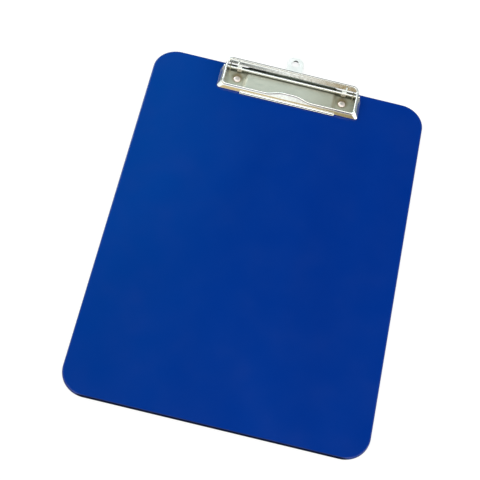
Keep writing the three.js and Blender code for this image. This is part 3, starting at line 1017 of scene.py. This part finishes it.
def spring(side):
    """Close-wound torsion spring: one leg lies on the base plate, the other lifts the jaw's flange."""
    sign = 1 if side == "right" else -1
    coil = SPRING["coil"]
    path = []
    floor_y, floor_z = y_at(SPRING_LEG["floor"][0]), z_at(SPRING_LEG["floor"][1])
    slot_y, slot_z = y_at(SPRING_LEG["slot"][0]), z_at(SPRING_LEG["slot"][1])
    start = Vector((SPRING["floor_x"], AXIS.y, AXIS.z - coil))
    for i in range(9):
        t = i / 9
        path.append(Vector((SPRING["floor_x"], floor_y, floor_z)).lerp(start, t))
    turns = SPRING["turns"]
    steps = int(turns * 28)
    for i in range(steps + 1):
        angle = 2 * math.pi * turns * i / steps
        x = mix(SPRING["floor_x"], SPRING["slot_x"], i / steps)
        path.append(Vector((x, AXIS.y - coil * math.sin(angle), AXIS.z - coil * math.cos(angle))))
    end = path[-1].copy()
    for i in range(1, 13):
        path.append(end.lerp(Vector((SPRING["slot_x"], slot_y, slot_z)), i / 12))
    made = tube(f"spring_{side}_wire", [(sign * p.x, p.y, p.z) for p in path], SPRING["wire"] / 2)
    shade(made)
    return made


def rivet(side):
    """Semi-tubular rivet: a low dome above, and a rolled clinch in the counterbore below."""
    low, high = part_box("rivet_" + side)
    centre = rivet_centre(side)
    head = (high.x - low.x) / 2
    seat = TOP + PLATE["thickness"]
    crown = high.z
    shank = RIVET["shank"]
    roll = 2.1 * MM
    curl = 0.28 * MM
    edge = 0.2 * MM
    # the hollow of the tube's end, its rolled rim, the shank, and the edge of the head
    profile = [(0, 1.6 * MM), (0.8 * MM, 1.5 * MM), (1.0 * MM, 1.0 * MM)]
    profile += arc((roll, low.z + curl), curl, 215, 450, 12)
    profile += [(shank, 0.62 * MM), (shank, seat), (head - edge, seat)]
    profile += arc((head - edge, seat + edge), edge, -60, 30, 5)
    rim_height = seat + 0.3 * MM
    for i in range(1, 15):
        turn = math.pi / 2 * i / 14
        radius = (head - 0.03 * MM) * math.cos(turn)
        profile.append((radius, mix(rim_height, crown, math.sin(turn) ** 1.1)))
    made = lathe(f"rivet_{side}_dome", profile, (centre.x, centre.y, 0), 72)
    shade(made)
    return made


def washer(side):
    low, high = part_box("rivet_washer_" + side)
    centre = (low + high) / 2
    outer = (high.x - low.x) / 2
    inner = RIVET["shank"] + FIT
    edge = 0.12 * MM
    profile = arc((inner + edge, low.z + edge), edge, 180, 270, 5)
    profile += arc((outer - edge, low.z + edge), edge, 270, 360, 5)
    profile += arc((outer - edge, high.z - edge), edge, 0, 90, 5)
    profile += arc((inner + edge, high.z - edge), edge, 90, 180, 5)
    profile.append(profile[0])
    made = lathe(f"rivet_washer_{side}_ring", profile, (centre.x, centre.y, 0), 72)
    shade(made)
    return made


# ---------- hanger ----------
def hanger():
    """Flat stamping: a tongue with a hole in its round end, and a cross bar that stays inside."""
    half = HANGER["tongue"] / 2
    bar = HANGER_HIGH.x
    centre_y = HANGER_HIGH.y - half
    soft = 1.2 * MM
    front, back = HANGER_LOW.y, y_at(HANGER["bar_rear"])
    outline = arc((0, centre_y), half, 0, 180, 48)
    outline += arc((-half - soft, back + soft), soft, 0, -90, 8)
    outline += arc((-bar + soft, back - soft), soft, 90, 180, 8)
    outline += arc((-bar + soft, front + soft), soft, 180, 270, 8)
    outline += arc((bar - soft, front + soft), soft, 270, 360, 8)
    outline += arc((bar - soft, back - soft), soft, 0, 90, 8)
    outline += arc((half + soft, back + soft), soft, 270, 180, 8)
    hole = arc((0, centre_y), HANGER["hole"], 0, 360, 48)[:-1]
    curve = bpy.data.curves.new("hanger", "CURVE")
    curve.dimensions = "2D"
    curve.fill_mode = "BOTH"
    edge = HANGER["edge"]
    thickness = HANGER_HIGH.z - HANGER_LOW.z
    curve.extrude = thickness / 2 - edge
    curve.bevel_depth = edge
    curve.bevel_resolution = 4
    curve.offset = -edge
    for line in (outline, hole):
        spline = curve.splines.new("POLY")
        spline.points.add(len(line) - 1)
        for point, (x, y) in zip(spline.points, line):
            point.co = (x, y, 0, 1)
        spline.use_cyclic_u = True
    holder = bpy.data.objects.new("hanger_curve", curve)
    bpy.context.scene.collection.objects.link(holder)
    graph = bpy.context.evaluated_depsgraph_get()
    mesh = bpy.data.meshes.new_from_object(holder.evaluated_get(graph))
    bpy.data.objects.remove(holder)
    bpy.data.curves.remove(curve)
    mesh.name = "hanger_stamping"
    made = bpy.data.objects.new("hanger_stamping", mesh)
    bpy.context.scene.collection.objects.link(made)
    for vertex in mesh.vertices:
        vertex.co.z += (HANGER_HIGH.z + HANGER_LOW.z) / 2
    tidy(made)
    shade(made)
    return made


# ---------- the scene ----------
camera()
studio()
world()
floor()
bpy.context.scene.view_settings.view_transform = "Standard"

FINISHES = materials()
finish_piece(board(), "root", "board", "board_plastic", FINISHES)
finish_piece(base_plate(), "root", "base_plate", "plate_steel", FINISHES)
finish_piece(jaw(), "jaw", "jaw", "jaw_nickel", FINISHES)
finish_piece(hinge_pin(), "root", "hinge_pin", "bright_wire", FINISHES)
finish_piece(hanger(), "hanger", "hanger_hook", "hanger_nickel", FINISHES)
for side, sign in (("left", -1), ("right", 1)):
    finish_piece(rivet(side), "root", "rivet_" + side, "rivet_nickel", FINISHES)
    finish_piece(washer(side), "root", "rivet_washer_" + side, "rivet_nickel", FINISHES)
    wire = spring(side)
    finish_piece(wire, None, "spring_" + side, "spring_wire", FINISHES)
    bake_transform(wire)
